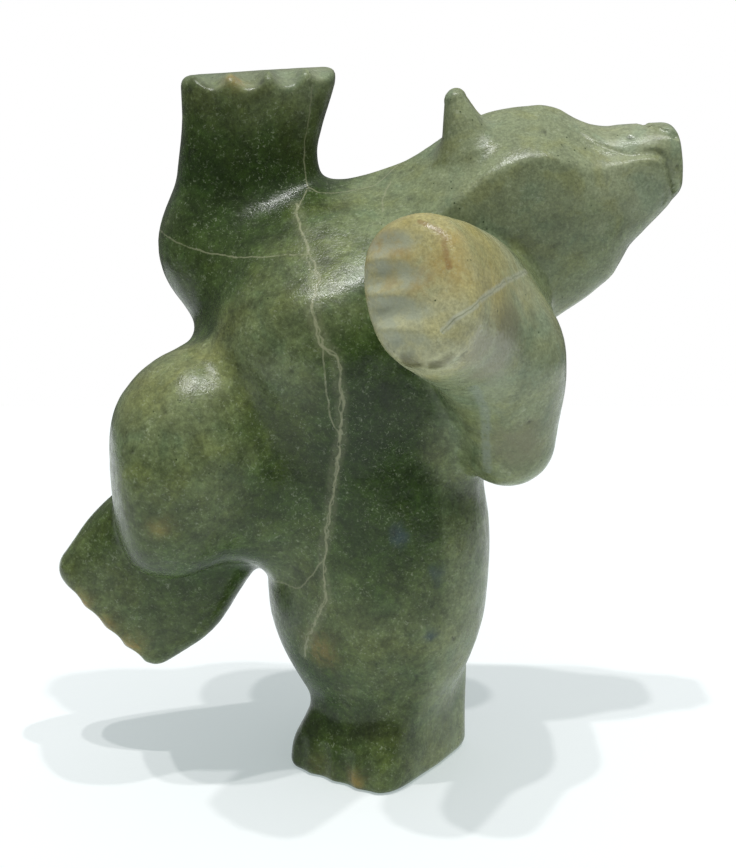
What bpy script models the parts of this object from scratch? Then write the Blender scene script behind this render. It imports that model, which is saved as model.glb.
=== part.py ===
"""Soapstone carving of a bear dancing on its left foot, carved from one stone.

Metres, +Z up, origin at the middle of the sole that the bear stands on. The bear's own left, right
and forward are meant throughout; it faces the side of -Y, turned towards -X.

The stone is worked as a carver works it. Rough forms are blocked out and fused, then every point of
the block is brought onto the finished surface. That surface is a distance function: eggs, round
limbs and flat limbs, joined by soft fillets and cut by rounded faces and scoops.
"""

import bmesh
import bpy
import numpy as np
from mathutils import Matrix

NAME = "bear_carving"

# Directions
FORWARD = np.array((-0.571, -0.821, 0.0))
LEFT = np.array((0.821, -0.571, 0.0))
ALONG_X = np.array((1.0, 0.0, 0.0))
UP = np.array((0.0, 0.0, 1.0))

# Rough block: how close its balls stand. Then each remeshing: its voxel, the passes that carve it,
# and the furthest that one pass moves a point
BALL_SPACING = 0.006
BALL_SUBDIVISIONS = 3
PASSES = ((0.0034, 36, 0.003), (0.0024, 10, 0.002))
MOST_TRIANGLES = 9600
LAST_PASSES = 3
SOLE_SNAP = 0.00015

# Squareness of an outline: 2 is an ellipse, more is squarer, less is sharper at the sides.
# A fillet is where one form grows out of another; a rounding is where a form is cut off.

# Trunk, from the ankle of the standing leg to the chest.
# Rows: height, half width, half depth, shift to the left, shift backwards
TRUNK = (
    (0.022, 0.0255, 0.0250, -0.001, 0.003),
    (0.032, 0.0310, 0.0290, -0.0014, 0.002),
    (0.045, 0.0378, 0.0340, -0.0018, 0.001),
    (0.060, 0.0426, 0.0375, -0.0016, 0.000),
    (0.080, 0.0442, 0.0392, -0.001, 0.000),
    (0.100, 0.0438, 0.0396, -0.001, 0.000),
    (0.125, 0.0438, 0.0408, -0.006, -0.002),
    (0.150, 0.0425, 0.0400, -0.012, -0.005),
    (0.168, 0.0400, 0.0380, -0.016, -0.007),
)
TRUNK_SQUARENESS = 2.1
TRUNK_TOP = 0.180
TRUNK_TOP_ROUNDING = 0.030
CHEST_CENTRE = (-0.015, 0.000, 0.1740)
CHEST_SIZES = (0.0430, 0.0490, 0.0420)
CHEST_FILLET = 0.020
# Flat slope from the neck down to the breast: a point on it, and the way it faces
BREAST_POINT = (-0.022, -0.030, 0.2037)
BREAST_FACES = (-0.06, -0.53, 0.86)
BREAST_ROUNDING = 0.008

# Foot that the bear stands on. Rows as for the trunk
SOLE = (
    (0.000, 0.0265, 0.0330, 0.0000, 0.0000),
    (0.010, 0.0262, 0.0322, 0.0003, 0.0006),
    (0.020, 0.0245, 0.0295, 0.0016, 0.0028),
    (0.030, 0.0230, 0.0270, 0.0030, 0.0050),
    (0.048, 0.0225, 0.0260, 0.0035, 0.0060),
)
SOLE_SQUARENESS = 5.0
SOLE_EDGE = 0.0040
ANKLE_ROUNDING = 0.010
ANKLE_FILLET = 0.005

# Raised leg
THIGH_CENTRE = (-0.073, -0.016, 0.1265)
THIGH_SIZES = (0.0322, 0.035, 0.0452)
THIGH_LEAN = (0.30, 0.0, 1.0)
FACET_POINT = (-0.1020, -0.016, 0.131)
FACET_FACES = (-1.0, -0.25, -0.05)
FACET_ROUNDING = 0.008
HIP_CENTRE = (-0.038, -0.002, 0.120)
HIP_SIZES = (0.030, 0.034, 0.0385)
HIP_LEAN = (0.1, 0.0, 1.0)
HIP_FILLET = 0.016
FLANK_CENTRE = (-0.0495, 0.002, 0.1450)
FLANK_SIZES = (0.0270, 0.032, 0.0370)
FLANK_FILLET = 0.012
THIGH_FILLET = 0.009
RAISED_ANKLE = np.array((-0.060, 0.006, 0.100))
RAISED_TOES = np.array((-0.1085, 0.004, 0.056))
RAISED_FOOT_SIDE = (1.0, 0.0, -0.83)
# Rows of a limb: share of its length, half width, half thickness, shift in width
RAISED_FOOT = (
    (-0.30, 0.0220, 0.0240, -0.0040),
    (0.00, 0.0268, 0.0220, -0.0048),
    (0.25, 0.0300, 0.0200, -0.0040),
    (0.50, 0.0330, 0.0180, -0.0024),
    (1.00, 0.0288, 0.0125, -0.0012),
)
RAISED_FOOT_SQUARENESS = 2.5
RAISED_FOOT_ROUNDINGS = (0.010, 0.007)
RAISED_FOOT_FILLET = 0.005

# Head, seen from the side: a line from the chest to the nose, and the outline above and below it.
# Rows: distance along, lower edge, ridge, upper edge, half thickness, roundness above the ridge
HEAD_START = np.array((-0.005, 0.014, 0.190))
HEAD_ALONG = (0.118, 0.0, 0.050)
NECK_END = -0.040
NECK_ROUNDING = 0.020
NECK_FILLET = 0.022
JAW_END = 0.1188
JAW_ROUNDING = 0.003
# The nose's front face: where it meets the head's line, and how much further it reaches with height
NOSE_END = 0.1266
NOSE_SLANT = 0.26
NOSE_ROUNDING = 0.006
SKULL_AND_JAW = (
    (-0.045, -0.0200, -0.0010, 0.0240, 0.0310, 1.30),
    (-0.025, -0.0300, -0.0010, 0.0282, 0.0380, 1.30),
    (0.000, -0.0360, 0.0020, 0.0344, 0.0400, 1.25),
    (0.018, -0.0400, 0.0080, 0.0370, 0.0380, 1.20),
    (0.033, -0.0410, 0.0145, 0.0367, 0.0350, 1.20),
    (0.048, -0.0425, 0.0190, 0.0392, 0.0325, 1.20),
    (0.065, -0.0402, 0.0215, 0.0410, 0.0300, 1.25),
    (0.080, -0.0365, 0.0180, 0.0376, 0.0280, 1.25),
    (0.088, -0.0334, 0.0110, 0.0344, 0.0258, 1.25),
    (0.092, -0.0303, 0.0080, 0.0310, 0.0240, 1.25),
    (0.097, -0.0262, 0.0060, 0.0240, 0.0222, 1.25),
    (0.104, -0.0229, 0.0050, 0.0155, 0.0200, 1.25),
    (0.111, -0.0198, 0.0045, 0.0076, 0.0186, 1.30),
    (0.119, -0.0158, 0.0010, 0.0040, 0.0172, 1.40),
)
# How far the crest that runs along each cheek is blunted
CREST = 0.0035
MUZZLE = (
    (0.062, 0.0000, 0.0150, 0.0340, 0.0130, 1.90),
    (0.080, 0.0020, 0.0150, 0.0335, 0.0160, 1.90),
    (0.090, 0.0000, 0.0125, 0.0300, 0.0170, 1.80),
    (0.096, -0.0030, 0.0100, 0.0255, 0.0168, 1.80),
    (0.100, -0.0060, 0.0085, 0.0222, 0.0164, 1.80),
    (0.104, -0.0080, 0.0075, 0.0197, 0.0160, 1.80),
    (0.110, -0.0120, 0.0060, 0.0176, 0.0154, 1.90),
    (0.117, -0.0150, 0.0030, 0.0152, 0.0148, 1.90),
    (0.128, -0.0170, 0.0010, 0.0112, 0.0138, 2.10),
)
ROUNDNESS_BELOW_RIDGE = 1.9
MUZZLE_ROOT_ROUNDING = 0.010
LIP_FILLET = 0.002
EAR_BASE = np.array((0.0334, 0.0, 0.2405))
EAR_TIP = np.array((0.0280, 0.0, 0.2583))
EAR_APART = 0.011
EAR_TURN = 0.0008
EAR_BASE_RADIUS = 0.0108
EAR_TIP_RADIUS = 0.0040
EAR_FILLET = 0.006

# Right arm, raised straight up
FAR_SHOULDER = (-0.026, 0.012, 0.194)
FAR_SHOULDER_RADIUS = 0.026
FAR_ELBOW = (-0.0610, 0.020, 0.2030)
FAR_ELBOW_RADIUS = 0.023
FAR_ELBOW_FILLET = 0.010
FAR_ARM_FILLET = 0.020
FAR_WRIST = np.array((-0.0565, 0.021, 0.200))
FAR_PAW = np.array((-0.0458, 0.016, 0.2686))
FAR_PAW_SIDE = (1.0, 0.14, 0.0)
FAR_FACE = (-0.06, 0.0, 1.0)
FAR_FOREARM = (
    (-0.30, 0.0180, 0.0180, 0.0),
    (0.00, 0.0240, 0.0220, 0.0),
    (0.40, 0.0254, 0.0190, 0.0007),
    (0.70, 0.0258, 0.0170, 0.0005),
    (1.00, 0.0292, 0.0165, 0.0),
)
FAR_FOREARM_SQUARENESS = 2.8
FAR_FOREARM_ROUNDINGS = (0.016, 0.005)

# Left arm, held out in front
NEAR_SHOULDER = (0.010, 0.004, 0.178)
NEAR_SHOULDER_RADIUS = 0.028
NEAR_UPPER_ARM = (0.0345, -0.013, 0.1520)
NEAR_UPPER_ARM_RADIUS = 0.0245
NEAR_ARM_FILLET = 0.018
NEAR_ELBOW = (0.0463, -0.0275, 0.1392)
NEAR_BEND = (0.0452, -0.0400, 0.1710)
ELBOW_RADIUS = 0.0176
ELBOW_FILLET = 0.018
NEAR_WRIST = np.array((0.042, -0.018, 0.177))
NEAR_PAW = np.array((0.0095, -0.0965, 0.2053))
NEAR_PAW_UP = (-0.133, 0.493, 0.860)
NEAR_FOREARM = (
    (-0.30, 0.0260, 0.0200, 0.0),
    (0.00, 0.0300, 0.0205, 0.0000),
    (0.50, 0.0285, 0.0210, 0.0012),
    (1.00, 0.0238, 0.0180, 0.0005),
)
NEAR_FOREARM_SQUARENESS = 2.4
NEAR_FOREARM_ROUNDINGS = (0.020, 0.010)
# Narrow, so that the forearm stands clear of the cheek and the belly
NEAR_FOREARM_FILLET = 0.005

# Hollows carved across each paw, one less than the ridges that stand for the toes.
# For each paw: from one hollow to the next and the radius, the middle of the row as a shift from
# the end of the limb, and how far each hollow runs both ways from the row
HOLLOWS = 4
HOLLOW_EDGE = 0.002
FAR_PAW_HOLLOWS = (0.0138, 0.0062)
FAR_PAW_SHIFT = (0.0030, -0.0080, 0.0046)
FAR_PAW_RUN = (0.0200, 0.0100)
NEAR_PAW_HOLLOWS = (0.0115, 0.0056)
NEAR_PAW_SHIFT = (0.0090, 0.0030)
NEAR_PAW_RUN = (0.0040, 0.0160, -0.0045)
RAISED_FOOT_HOLLOWS = (0.0112, 0.0055)
RAISED_FOOT_SHIFT = 0.0042
RAISED_FOOT_RUN = 0.018
STANDING_FOOT_HOLLOWS = (0.0112, 0.0055)
STANDING_FOOT_SHIFT = (0.0372, 0.0030)
STANDING_FOOT_RUN = (-0.002, 0.010)

STONE_GREEN = (0.090, 0.130, 0.060, 1.0)
STONE_ROUGHNESS = 0.34

TINY = 1e-9
# Where a section's outline is too far inside for its distance to matter
DEEP_INSIDE = 0.05
SLOPE_STEP = 0.0002
LEAST_STEEPNESS = 0.2


def unit(vector):
    vector = np.asarray(vector, float)
    return vector / np.linalg.norm(vector)


def axes_of(along, side):
    """Rows: the side direction, the direction across both, and the length of a form."""
    along = unit(along)
    side = np.asarray(side, float)
    side = unit(side - side.dot(along) * along)
    return np.array((side, np.cross(along, side), along))


def join(first, second, fillet):
    """Two forms as one, with a fillet where they meet."""
    share = np.clip(0.5 + 0.5 * (second - first) / fillet, 0.0, 1.0)
    return second * (1.0 - share) + first * share - fillet * share * (1.0 - share)


def cut(form, cutter, rounding):
    """What of the form is also inside the cutter's side, with a rounded edge."""
    return -join(-form, -cutter, rounding)


def curve_through(where, stations, values):
    """A smooth curve through the stations' values, level past both ends."""
    where = np.clip(where, stations[0], stations[-1])
    slopes = np.gradient(values, stations)
    low = np.clip(np.searchsorted(stations, where) - 1, 0, len(stations) - 2)
    width = stations[low + 1] - stations[low]
    u = (where - stations[low]) / width
    start = (2 * u**3 - 3 * u**2 + 1) * values[low] + (u**3 - 2 * u**2 + u) * width * slopes[low]
    end = (3 * u**2 - 2 * u**3) * values[low + 1] + (u**3 - u**2) * width * slopes[low + 1]
    return start + end


def oval(a, b, half_a, half_b, power):
    """Distance to an oval outline; a power of 2 is an ellipse, more is squarer."""
    a = np.abs(a) / half_a + TINY**0.5
    b = np.abs(b) / half_b + TINY**0.5
    scaled = (a**power + b**power) ** (1.0 / power)
    slope = np.hypot(a ** (power - 1) / half_a, b ** (power - 1) / half_b) / scaled ** (power - 1)
    return (scaled - 1.0) / slope


def egg(points, centre, sizes, along=UP, side=ALONG_X):
    local = (points - np.asarray(centre)) @ axes_of(along, side).T
    scaled = np.linalg.norm(local / sizes, axis=1) + TINY
    slope = np.linalg.norm(local / np.square(sizes), axis=1) + TINY
    return scaled * (scaled - 1.0) / slope


def round_limb(points, start, end, start_radius, end_radius):
    start = np.asarray(start, float)
    line = np.asarray(end, float) - start
    share = np.clip((points - start) @ line / line.dot(line), 0.0, 1.0)
    radius = start_radius + (end_radius - start_radius) * share
    return np.linalg.norm(points - start - share[:, None] * line, axis=1) - radius


def stack(points, rows, squareness):
    """A form built up in height from oval sections across the body."""
    rows = np.array(rows)
    side, back = LEFT, -FORWARD
    sizes = [curve_through(points[:, 2], rows[:, 0], rows[:, k]) for k in range(1, 5)]
    wide, deep, shift_left, shift_back = sizes
    return oval(points @ side - shift_left, points @ back - shift_back, wide, deep, squareness)


def flat_limb(points, start, end, side, rows, squareness, end_faces, roundings):
    """A limb wider than it is thick, cut off at both ends."""
    rows = np.array(rows)
    length = np.linalg.norm(end - start)
    local = (points - start) @ axes_of(end - start, side).T
    share = local[:, 2] / length
    wide, thick, shift = (curve_through(share, rows[:, 0], rows[:, k]) for k in range(1, 4))
    limb = oval(local[:, 0] - shift, local[:, 1], wide, thick, squareness)
    limb = cut(limb, (points - end) @ unit(end_faces), roundings[1])
    return cut(limb, rows[0, 0] * length - local[:, 2], roundings[0])


def trunk(points):
    body = stack(points, TRUNK, TRUNK_SQUARENESS)
    body = cut(body, points[:, 2] - TRUNK_TOP, TRUNK_TOP_ROUNDING)
    chest = egg(points, CHEST_CENTRE, CHEST_SIZES, side=LEFT)
    slope = (points - np.asarray(BREAST_POINT)) @ unit(BREAST_FACES)
    chest = cut(chest, slope, BREAST_ROUNDING)
    return join(body, chest, CHEST_FILLET)


def standing_foot(points):
    foot = stack(points, SOLE, SOLE_SQUARENESS)
    return cut(foot, points[:, 2] - SOLE[-1][0], ANKLE_ROUNDING)


def raised_thigh(points):
    thigh = egg(points, THIGH_CENTRE, THIGH_SIZES, THIGH_LEAN)
    facet = (points - np.asarray(FACET_POINT)) @ unit(FACET_FACES)
    thigh = cut(thigh, facet, FACET_ROUNDING)
    hip = egg(points, HIP_CENTRE, HIP_SIZES, HIP_LEAN)
    flank = egg(points, FLANK_CENTRE, FLANK_SIZES, THIGH_LEAN)
    return join(join(thigh, hip, HIP_FILLET), flank, FLANK_FILLET)


def raised_foot(points):
    return flat_limb(points, RAISED_ANKLE, RAISED_TOES, RAISED_FOOT_SIDE, RAISED_FOOT,
                     RAISED_FOOT_SQUARENESS, RAISED_TOES - RAISED_ANKLE, RAISED_FOOT_ROUNDINGS)


def roof(rise, sideways, height, half_width, roundness):
    """Distance to the upper half of a section: flat slopes from a level top to a crest each side."""
    crest = CREST / height
    level = np.hypot(1.0, crest) - crest
    a = np.abs(rise) / height
    b = np.abs(sideways) / half_width + TINY**0.5
    value = np.maximum((np.hypot(a, crest) - crest) / level + b**roundness, DEEP_INSIDE)
    scaled = value ** (1.0 / roundness)
    slope = np.hypot(a / np.hypot(a, crest) / level / height / roundness,
                     b ** (roundness - 1.0) / half_width)
    return (scaled - 1.0) / (slope * scaled / value)


def in_profile(local, rows, section):
    """An endless form given by its side view. The section is used above its ridge."""
    rows = np.array(rows)
    rise, sideways, along = local.T
    sizes = [curve_through(along, rows[:, 0], rows[:, k]) for k in range(1, 6)]
    lower, ridge, upper, thick, roundness = sizes
    rise = rise - ridge
    above = section(rise, sideways, upper - ridge, thick, roundness)
    below = oval(rise, sideways, ridge - lower, thick, ROUNDNESS_BELOW_RIDGE)
    return np.where(rise > 0.0, above, below)


def head(points):
    local = (points - HEAD_START) @ axes_of(HEAD_ALONG, UP).T
    rise, _, along = local.T
    skull = cut(in_profile(local, SKULL_AND_JAW, roof), NECK_END - along, NECK_ROUNDING)
    skull = cut(skull, along - JAW_END, JAW_ROUNDING)
    muzzle = in_profile(local, MUZZLE, oval)
    muzzle = cut(muzzle, MUZZLE[0][0] - along, MUZZLE_ROOT_ROUNDING)
    muzzle = cut(muzzle, along - NOSE_SLANT * rise - NOSE_END, NOSE_ROUNDING)
    return join(skull, muzzle, LIP_FILLET)


def ear_places():
    """Where the left and the right ear stand, either side of the head's middle."""
    return [np.array((way * EAR_TURN, HEAD_START[1] + way * EAR_APART, 0.0)) for way in (-1, 1)]


def ears(points):
    left, right = (round_limb(points, EAR_BASE + place, EAR_TIP + place, EAR_BASE_RADIUS,
                              EAR_TIP_RADIUS) for place in ear_places())
    return np.minimum(left, right)


def far_arm(points):
    upper = round_limb(points, FAR_SHOULDER, FAR_ELBOW, FAR_SHOULDER_RADIUS, FAR_ELBOW_RADIUS)
    forearm = flat_limb(points, FAR_WRIST, FAR_PAW, FAR_PAW_SIDE, FAR_FOREARM,
                        FAR_FOREARM_SQUARENESS, FAR_FACE, FAR_FOREARM_ROUNDINGS)
    return join(upper, forearm, FAR_ELBOW_FILLET)


def near_upper_arm(points):
    return round_limb(points, NEAR_SHOULDER, NEAR_UPPER_ARM, NEAR_SHOULDER_RADIUS,
                      NEAR_UPPER_ARM_RADIUS)


def near_forearm(points):
    elbow = round_limb(points, NEAR_ELBOW, NEAR_BEND, ELBOW_RADIUS, ELBOW_RADIUS)
    forearm = flat_limb(points, NEAR_WRIST, NEAR_PAW, NEAR_PAW_UP, NEAR_FOREARM,
                        NEAR_FOREARM_SQUARENESS, NEAR_PAW - NEAR_WRIST, NEAR_FOREARM_ROUNDINGS)
    return join(elbow, forearm, ELBOW_FILLET)


def hollows(points, middle, across, run, spacing_and_radius):
    """Round grooves side by side: each runs both ways from the row, which goes across the paw."""
    spacing, radius = spacing_and_radius
    grooves = []
    for number in range(HOLLOWS):
        centre = middle + across * spacing * (number - 0.5 * (HOLLOWS - 1))
        grooves.append(round_limb(points, centre - run, centre + run, radius, radius))
    return np.min(grooves, axis=0)


def far_paw_hollows(points):
    across, back, out = axes_of(FAR_FACE, FAR_PAW_SIDE)
    middle = FAR_PAW + np.array(FAR_PAW_SHIFT) @ (across, back, out)
    run = back * FAR_PAW_RUN[0] + out * FAR_PAW_RUN[1]
    return hollows(points, middle, across, run, FAR_PAW_HOLLOWS)


def near_paw_hollows(points):
    up, palm, out = axes_of(NEAR_PAW - NEAR_WRIST, NEAR_PAW_UP)
    middle = NEAR_PAW + palm * NEAR_PAW_SHIFT[0] + out * NEAR_PAW_SHIFT[1]
    run = np.array(NEAR_PAW_RUN) @ (up, palm, out)
    return hollows(points, middle, up, run, NEAR_PAW_HOLLOWS)


def raised_foot_hollows(points):
    across, sideways, out = axes_of(RAISED_TOES - RAISED_ANKLE, RAISED_FOOT_SIDE)
    middle = RAISED_TOES + out * RAISED_FOOT_SHIFT
    return hollows(points, middle, across, sideways * RAISED_FOOT_RUN, RAISED_FOOT_HOLLOWS)


def standing_foot_hollows(points):
    middle = FORWARD * STANDING_FOOT_SHIFT[0] + UP * STANDING_FOOT_SHIFT[1]
    run = FORWARD * STANDING_FOOT_RUN[0] + UP * STANDING_FOOT_RUN[1]
    return hollows(points, middle, LEFT, run, STANDING_FOOT_HOLLOWS)


def bear(points):
    """Distance from each point to the finished surface: negative inside the stone."""
    form = join(trunk(points), standing_foot(points), ANKLE_FILLET)
    form = join(form, head(points), NECK_FILLET)
    form = join(form, ears(points), EAR_FILLET)
    form = join(form, raised_thigh(points), THIGH_FILLET)
    form = join(form, raised_foot(points), RAISED_FOOT_FILLET)
    form = join(form, far_arm(points), FAR_ARM_FILLET)
    form = join(form, near_upper_arm(points), NEAR_ARM_FILLET)
    form = join(form, near_forearm(points), NEAR_FOREARM_FILLET)
    for carved in (far_paw_hollows, near_paw_hollows, raised_foot_hollows, standing_foot_hollows):
        form = cut(form, -carved(points), HOLLOW_EDGE)
    return cut(form, -points[:, 2], SOLE_EDGE)


def distance_and_normal(points):
    """Distance to the finished surface, and the way out of the stone, at each point."""
    slopes = []
    for way in np.eye(3) * SLOPE_STEP:
        slopes.append((bear(points + way) - bear(points - way)) / (2.0 * SLOPE_STEP))
    slopes = np.stack(slopes, axis=1)
    steepness = np.maximum(np.linalg.norm(slopes, axis=1, keepdims=True), LEAST_STEEPNESS)
    return bear(points) / steepness[:, 0], slopes / steepness


def neighbours_of(mesh):
    """Both ends of every edge, each edge once in each direction."""
    edges = np.empty(len(mesh.edges) * 2, np.int32)
    mesh.edges.foreach_get("vertices", edges)
    edges = edges.reshape(-1, 2)
    return np.concatenate((edges, edges[:, ::-1]))


def carve(mesh, passes, furthest):
    """Bring every point onto the finished surface, spreading the points evenly over it."""
    points = np.empty(len(mesh.vertices) * 3)
    mesh.vertices.foreach_get("co", points)
    points = points.reshape(-1, 3)
    edges = neighbours_of(mesh)
    count = np.bincount(edges[:, 0], minlength=len(points))[:, None]
    for _ in range(passes):
        total = np.zeros_like(points)
        np.add.at(total, edges[:, 0], points[edges[:, 1]])
        drift = total / count - points
        distance, normal = distance_and_normal(points)
        drift -= normal * np.sum(drift * normal, axis=1, keepdims=True)
        inward = np.clip(distance, -furthest, furthest)[:, None] * normal
        points += 0.5 * drift - inward
    for _ in range(LAST_PASSES):
        distance, normal = distance_and_normal(points)
        points -= np.clip(distance, -furthest, furthest)[:, None] * normal
    mesh.vertices.foreach_set("co", points.ravel())
    mesh.update()


def applied(block, modifier):
    """A new mesh of the block, with the modifier's work in it."""
    graph = bpy.context.evaluated_depsgraph_get()
    mesh = bpy.data.meshes.new_from_object(block.evaluated_get(graph))
    block.modifiers.remove(modifier)
    return mesh


def remeshed(block, voxel):
    modifier = block.modifiers.new("Remesh", "REMESH")
    modifier.mode = "VOXEL"
    modifier.voxel_size = voxel
    return applied(block, modifier)


def thinned(block):
    """Fewer triangles where the surface is nearly flat."""
    triangles = sum(len(face.vertices) - 2 for face in block.data.polygons)
    modifier = block.modifiers.new("Decimate", "DECIMATE")
    modifier.ratio = MOST_TRIANGLES / triangles
    return applied(block, modifier)


def bars():
    """The rough block: round bars well inside the finished forms. Start, end, both radii."""
    neck, brow, nose = (HEAD_START + unit(HEAD_ALONG) * along for along in (0.0, 0.070, 0.112))
    chin = UP * 0.010
    chest = np.asarray(CHEST_CENTRE)
    hip = np.asarray(HIP_CENTRE)
    knee = np.asarray(THIGH_CENTRE)
    shoulder = np.asarray(FAR_SHOULDER)
    elbow = 0.5 * (np.asarray(NEAR_ELBOW) + NEAR_BEND)
    ears = [(EAR_BASE + place, EAR_TIP + place, 0.0080, 0.0036) for place in ear_places()]
    return (
        *ears,
        (UP * 0.016, UP * 0.060, 0.020, 0.034),
        (UP * 0.060, chest, 0.036, 0.038),
        (chest, neck, 0.038, 0.028),
        (neck, brow - chin, 0.030, 0.026),
        (brow, nose, 0.022, 0.012),
        (hip, knee, 0.028, 0.028),
        (knee, RAISED_ANKLE + UP * 0.006, 0.024, 0.018),
        (RAISED_ANKLE, RAISED_TOES + ALONG_X * 0.008, 0.018, 0.012),
        (shoulder, np.asarray(FAR_ELBOW), 0.022, 0.020),
        (FAR_WRIST, FAR_PAW - UP * 0.012, 0.018, 0.015),
        (chest, np.asarray(NEAR_UPPER_ARM), 0.026, 0.024),
        (np.asarray(NEAR_UPPER_ARM), elbow, 0.022, 0.016),
        (np.asarray(NEAR_ELBOW), np.asarray(NEAR_BEND), 0.0160, 0.0160),
        (elbow, NEAR_WRIST, 0.017, 0.020),
        (NEAR_WRIST, NEAR_PAW + (NEAR_WRIST - NEAR_PAW) * 0.15, 0.020, 0.016),
    )


def rough_block(collection):
    """The bars as rows of balls in one mesh."""
    work = bmesh.new()
    for start, end, start_radius, end_radius in bars():
        balls = 2 + int(np.linalg.norm(end - start) / BALL_SPACING)
        for share in np.linspace(0.0, 1.0, balls):
            place = Matrix.Translation(start + (end - start) * share)
            radius = start_radius + (end_radius - start_radius) * share
            bmesh.ops.create_icosphere(work, subdivisions=BALL_SUBDIVISIONS, radius=radius,
                                       matrix=place)
    mesh = bpy.data.meshes.new(NAME)
    work.to_mesh(mesh)
    work.free()
    block = bpy.data.objects.new(NAME, mesh)
    collection.objects.link(block)
    return block


def settle_on_sole(mesh):
    """Make the underside one flat face at height zero."""
    for vertex in mesh.vertices:
        if vertex.co.z < SOLE_SNAP:
            vertex.co.z = 0.0


def soapstone():
    material = bpy.data.materials.new("soapstone")
    material.use_nodes = True
    shader = material.node_tree.nodes["Principled BSDF"]
    shader.inputs["Base Color"].default_value = STONE_GREEN
    shader.inputs["Roughness"].default_value = STONE_ROUGHNESS
    shader.inputs["Metallic"].default_value = 0.0
    return material


def clear_scene():
    for thing in list(bpy.data.objects):
        bpy.data.objects.remove(thing)


def make_bear():
    collection = bpy.data.collections.new(NAME)
    bpy.context.scene.collection.children.link(collection)
    block = rough_block(collection)
    for voxel, passes, furthest in PASSES:
        block.data = remeshed(block, voxel)
        carve(block.data, passes, furthest)
    block.data = thinned(block)
    settle_on_sole(block.data)
    block.data.materials.append(soapstone())
    block.data.shade_smooth()


clear_scene()
make_bear()
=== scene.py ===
"""Looks of the soapstone bear carving: its fine carved surface, the green stone, floor, lights and
camera. Metres, +Z up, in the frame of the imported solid.

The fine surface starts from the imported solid. It is remeshed in small squares and brought onto the
distance function that the solid was made with, which is repeated below, so that it has the solid's
shape without its facets. The strokes that finish the muzzle, the tool marks, the pits and the crack
are cut into it.
"""

import math

import bpy
import numpy as np
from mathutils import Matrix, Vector, noise

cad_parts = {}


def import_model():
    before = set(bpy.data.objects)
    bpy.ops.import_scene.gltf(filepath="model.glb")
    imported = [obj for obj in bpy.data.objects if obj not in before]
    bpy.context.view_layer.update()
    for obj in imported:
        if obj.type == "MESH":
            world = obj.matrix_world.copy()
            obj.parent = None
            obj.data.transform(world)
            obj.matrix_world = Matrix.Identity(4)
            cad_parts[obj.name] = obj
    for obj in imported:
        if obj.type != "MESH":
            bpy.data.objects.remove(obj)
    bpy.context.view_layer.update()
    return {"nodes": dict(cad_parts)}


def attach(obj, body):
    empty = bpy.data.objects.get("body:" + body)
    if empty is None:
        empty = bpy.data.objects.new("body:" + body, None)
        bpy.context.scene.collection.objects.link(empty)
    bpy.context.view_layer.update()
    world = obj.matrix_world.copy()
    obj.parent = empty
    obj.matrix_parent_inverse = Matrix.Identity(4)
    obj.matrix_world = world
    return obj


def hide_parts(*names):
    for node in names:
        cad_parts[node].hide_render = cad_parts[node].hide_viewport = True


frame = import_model()
NODE = "bear_carving"

# --- Form: the same as the solid's ---

# Directions
FORWARD = np.array((-0.571, -0.821, 0.0))
LEFT = np.array((0.821, -0.571, 0.0))
ALONG_X = np.array((1.0, 0.0, 0.0))
UP = np.array((0.0, 0.0, 1.0))

# Squareness of an outline: 2 is an ellipse, more is squarer, less is sharper at the sides.
# A fillet is where one form grows out of another; a rounding is where a form is cut off.

# Trunk, from the ankle of the standing leg to the chest.
# Rows: height, half width, half depth, shift to the left, shift backwards
TRUNK = (
    (0.022, 0.0255, 0.0250, -0.001, 0.003),
    (0.032, 0.0310, 0.0290, -0.0014, 0.002),
    (0.045, 0.0378, 0.0340, -0.0018, 0.001),
    (0.060, 0.0426, 0.0375, -0.0016, 0.000),
    (0.080, 0.0442, 0.0392, -0.001, 0.000),
    (0.100, 0.0438, 0.0396, -0.001, 0.000),
    (0.125, 0.0438, 0.0408, -0.006, -0.002),
    (0.150, 0.0425, 0.0400, -0.012, -0.005),
    (0.168, 0.0400, 0.0380, -0.016, -0.007),
)
TRUNK_SQUARENESS = 2.1
TRUNK_TOP = 0.180
TRUNK_TOP_ROUNDING = 0.030
CHEST_CENTRE = (-0.015, 0.000, 0.1740)
CHEST_SIZES = (0.0430, 0.0490, 0.0420)
CHEST_FILLET = 0.020
# Flat slope from the neck down to the breast: a point on it, and the way it faces
BREAST_POINT = (-0.022, -0.030, 0.2037)
BREAST_FACES = (-0.06, -0.53, 0.86)
BREAST_ROUNDING = 0.008

# Foot that the bear stands on. Rows as for the trunk
SOLE = (
    (0.000, 0.0265, 0.0330, 0.0000, 0.0000),
    (0.010, 0.0262, 0.0322, 0.0003, 0.0006),
    (0.020, 0.0245, 0.0295, 0.0016, 0.0028),
    (0.030, 0.0230, 0.0270, 0.0030, 0.0050),
    (0.048, 0.0225, 0.0260, 0.0035, 0.0060),
)
SOLE_SQUARENESS = 5.0
SOLE_EDGE = 0.0040
ANKLE_ROUNDING = 0.010
ANKLE_FILLET = 0.005

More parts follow.
